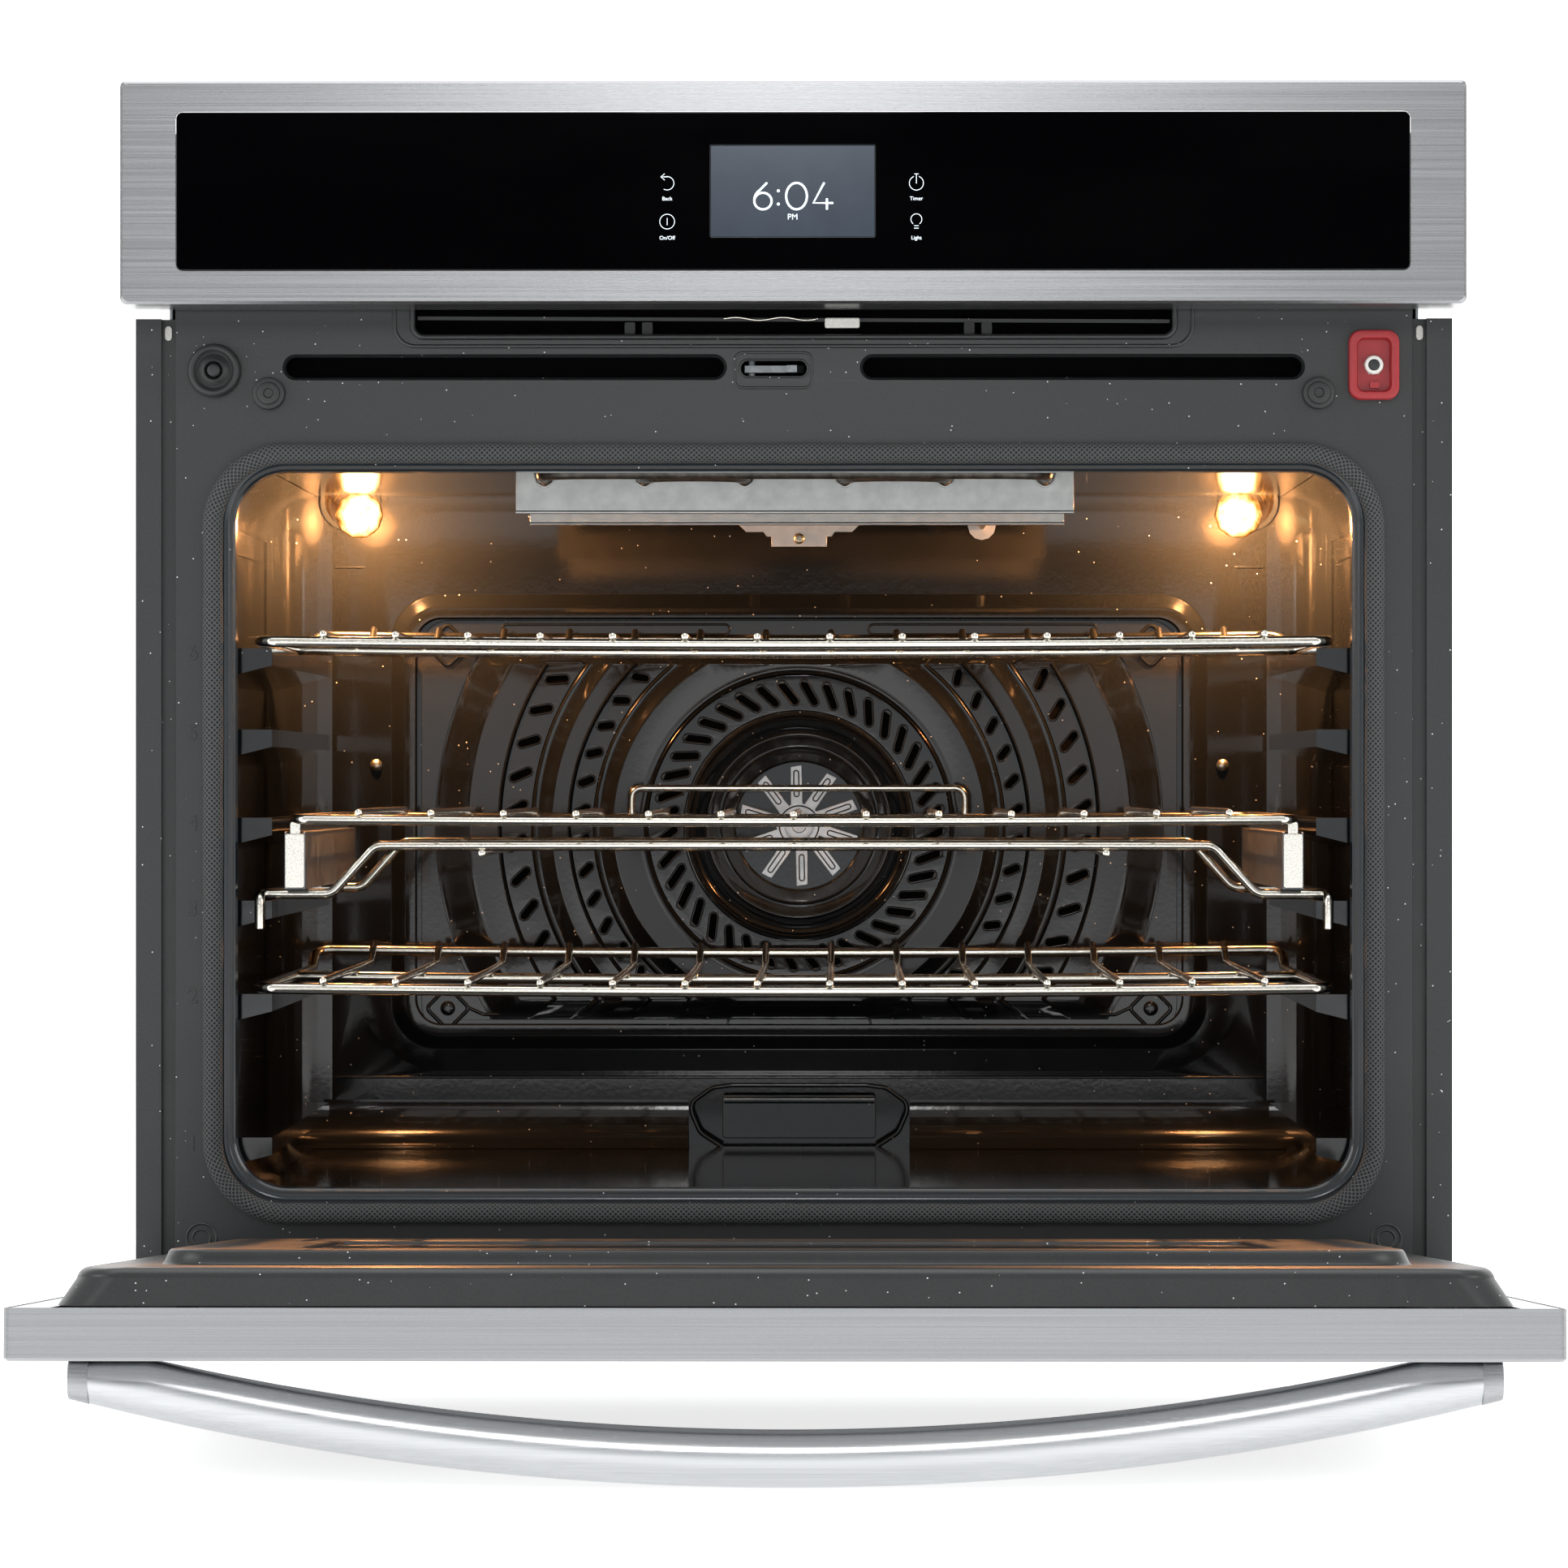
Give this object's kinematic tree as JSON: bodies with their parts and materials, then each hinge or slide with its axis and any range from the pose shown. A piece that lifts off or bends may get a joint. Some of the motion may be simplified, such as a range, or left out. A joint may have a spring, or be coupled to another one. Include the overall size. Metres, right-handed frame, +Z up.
{
  "type": "wall oven",
  "caption": "Built-in electric convection wall oven, drop-down door open, with touch control panel, wire racks, gliding rack, fan and lamps.",
  "frame": {"origin": "centre of the chassis underside, on the cabinet shelf that carries the oven", "axes": "+X to the right seen from the front, +Y into the oven, +Z up; the door is at -Y and stands open"},
  "size_m": [0.762, 1.1302, 0.7458],
  "materials": {
    "galvanised": "zinc coated steel, satin",
    "front_enamel": "dark grey enamel with fine white specks",
    "cavity_enamel": "blue grey enamel, glossy",
    "stainless": "brushed stainless steel",
    "black_glass": "black backed glass",
    "window_glass": "tinted oven window glass",
    "display": "slate display with white digits",
    "circuit_board": "green circuit board",
    "rope": "woven glass fibre rope",
    "element_sheath": "oxidised heating element sheath",
    "aluminised_strip": "aluminised steel",
    "lamp_glass": "clear borosilicate jar",
    "lamp_bulb": "lit halogen bulb on a ceramic base",
    "mineral_wool": "pale yellow mineral wool",
    "red_plastic": "red moulded plastic",
    "pale_plastic": "off-white moulded plastic",
    "dark_rubber": "dark grey silicone rubber",
    "fan_aluminium": "stamped sheet, satin",
    "motor_black": "black painted motor shell",
    "chrome_wire": "bright chrome plated wire"
  },
  "bodies": {
    "cabinet": {"chassis_base": "galvanised", "chassis_side_left": "galvanised", "chassis_side_right": "galvanised", "chassis_top": "galvanised", "chassis_back": "galvanised", "power_inlet_plate": "galvanised", "lock_housing": "galvanised", "hinge_arm_left": "galvanised", "hinge_arm_right": "galvanised", "blower_housing": "galvanised", "front_frame": "front_enamel", "side_trim_left": "front_enamel", "side_trim_right": "front_enamel", "cavity_floor": "cavity_enamel", "cavity_ceiling": "cavity_enamel", "cavity_side_left": "cavity_enamel", "cavity_side_right": "cavity_enamel", "cavity_back": "cavity_enamel", "convection_cover": "cavity_enamel", "floor_cover_plate": "cavity_enamel", "bottom_trim": "stainless", "control_panel_frame": "stainless", "control_glass": "black_glass", "display_module": "display", "control_board": "circuit_board", "door_gasket": "rope", "convection_element": "element_sheath", "broil_element": "element_sheath", "bake_element": "element_sheath", "broil_hanger_front": "aluminised_strip", "broil_hanger_rear": "aluminised_strip", "temperature_sensor": "aluminised_strip", "lamp_glass_left": "lamp_glass", "lamp_glass_right": "lamp_glass", "lamp_bulb_left": "lamp_bulb", "lamp_bulb_right": "lamp_bulb", "insulation_wrap": "mineral_wool", "probe_receptacle": "red_plastic", "probe_jack": "pale_plastic", "door_switch_housing": "dark_rubber", "door_bumper_left": "dark_rubber", "door_bumper_right": "dark_rubber", "fan_motor": "motor_black"},
    "door": {"door_skin": "stainless", "door_outer_glass": "black_glass", "door_inner_glass": "window_glass", "door_liner": "front_enamel", "door_handle": "stainless", "hinge_leaf_left": "galvanised", "hinge_leaf_right": "galvanised"},
    "top_rack": {"rack_top": "chrome_wire"},
    "bottom_rack": {"rack_bottom": "chrome_wire"},
    "glide_frame": {"glide_base": "chrome_wire", "glide_rail_left": "galvanised", "glide_rail_right": "galvanised"},
    "glide_deck": {"glide_deck": "chrome_wire"},
    "fan": {"convection_fan": "fan_aluminium"},
    "blower": {"blower_wheel": "fan_aluminium"},
    "lock": {"lock_hook": "galvanised"},
    "switch_button": {"door_switch_plunger": "dark_rubber"}
  },
  "joints": [
    {"name": "door_hinge", "type": "hinge", "parent": "cabinet", "child": "door", "pos_m": [0, -0.2975, 0.044], "axis": [-1, 0, 0], "range_deg": [0, 86.8]},
    {"name": "top_rack_slide", "type": "slide", "parent": "cabinet", "child": "top_rack", "axis": [0, 1, 0], "range_m": [-0.27, 0]},
    {"name": "bottom_rack_slide", "type": "slide", "parent": "cabinet", "child": "bottom_rack", "axis": [0, 1, 0], "range_m": [-0.27, 0]},
    {"name": "glide_frame_slide", "type": "slide", "parent": "cabinet", "child": "glide_frame", "axis": [0, 1, 0], "range_m": [-0.2, 0]},
    {"name": "glide_deck_slide", "type": "slide", "parent": "glide_frame", "child": "glide_deck", "axis": [0, 1, 0], "range_m": [-0.3, 0]},
    {"name": "convection_fan_spin", "type": "hinge", "parent": "cabinet", "child": "fan", "pos_m": [0, 0.2025, 0.299], "axis": [0, 1, 0], "continuous": true},
    {"name": "blower_spin", "type": "hinge", "parent": "cabinet", "child": "blower", "pos_m": [0.1, 0.01, 0.577], "axis": [0, 0, 1], "continuous": true},
    {"name": "lock_hook_swing", "type": "hinge", "parent": "cabinet", "child": "lock", "pos_m": [-0.024, -0.2615, 0.5645], "axis": [0, 0, 1], "range_deg": [-55, 0]},
    {"name": "door_switch_press", "type": "slide", "parent": "cabinet", "child": "switch_button", "axis": [0, 1, 0], "range_m": [0, 0.002], "stiffness_N_per_m": 200, "springref_m": -0.002}
  ]
}
